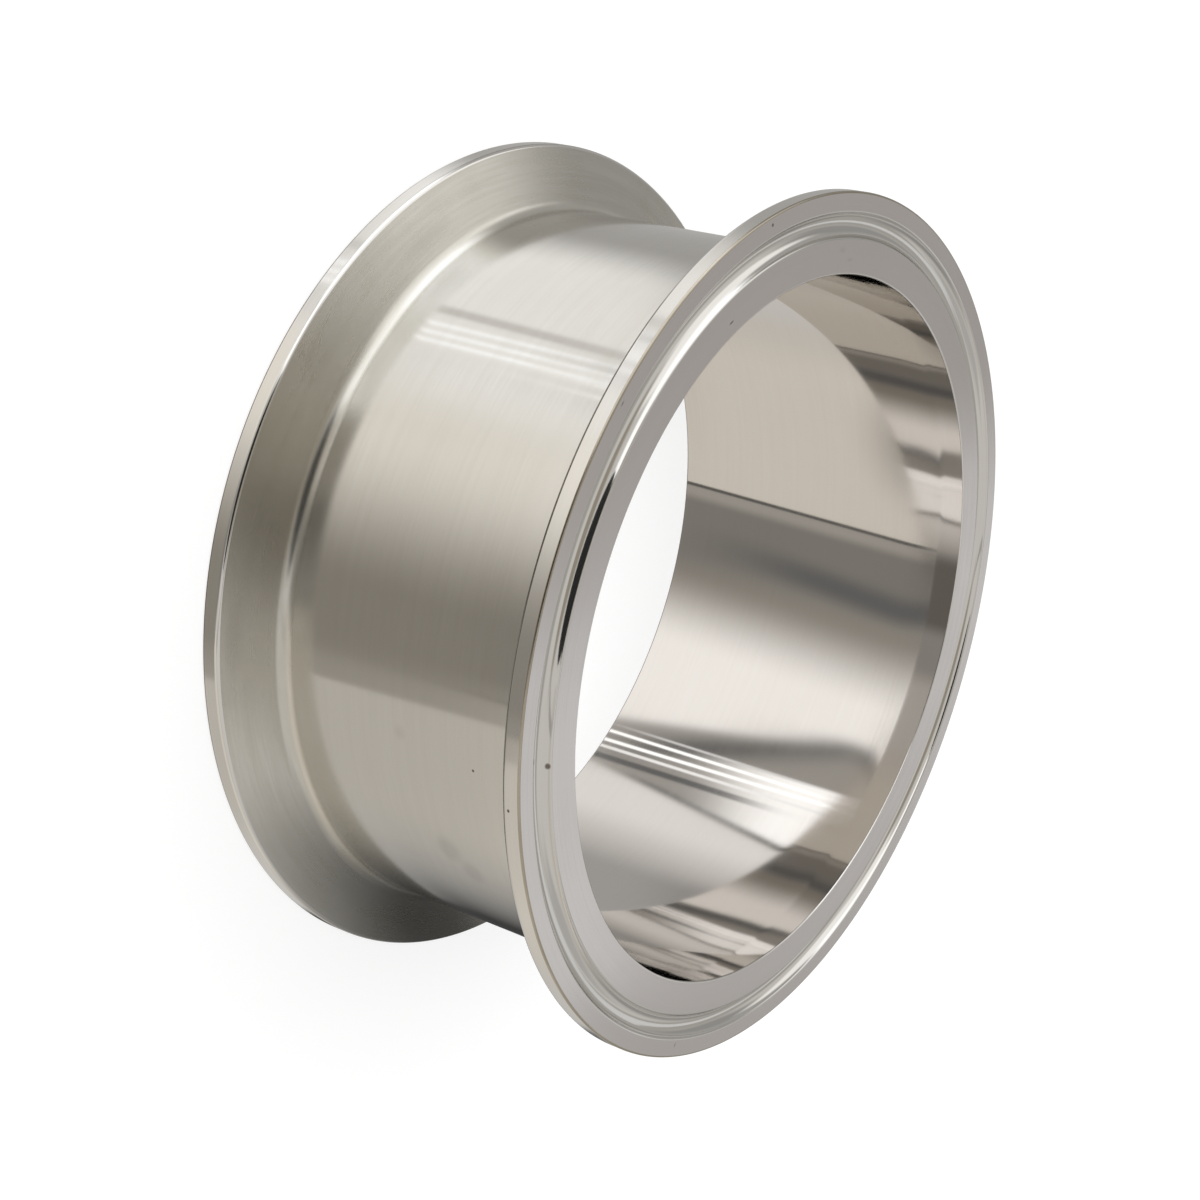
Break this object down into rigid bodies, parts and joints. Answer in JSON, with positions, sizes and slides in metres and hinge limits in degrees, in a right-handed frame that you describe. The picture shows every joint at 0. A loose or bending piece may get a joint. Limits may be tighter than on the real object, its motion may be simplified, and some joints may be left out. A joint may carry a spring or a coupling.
{
  "type": "sanitary spool",
  "caption": "Short straight sanitary tube with a clamp flange on each end: sloped flange backs for the clamp, a gasket groove in each face and a clear round bore.",
  "frame": {"origin": "centre of the bottom flange's face, which the spool stands on", "axes": "+Z along the bore, from the bottom flange to the top one; the spool is round about it, and -Y faces the camera"},
  "size_m": [0.119, 0.119, 0.0508],
  "materials": {
    "stainless_steel": "satin turned faces and tube, polished bore and grooves"
  },
  "bodies": {
    "root": {"spool": "stainless_steel"}
  },
  "joints": []
}
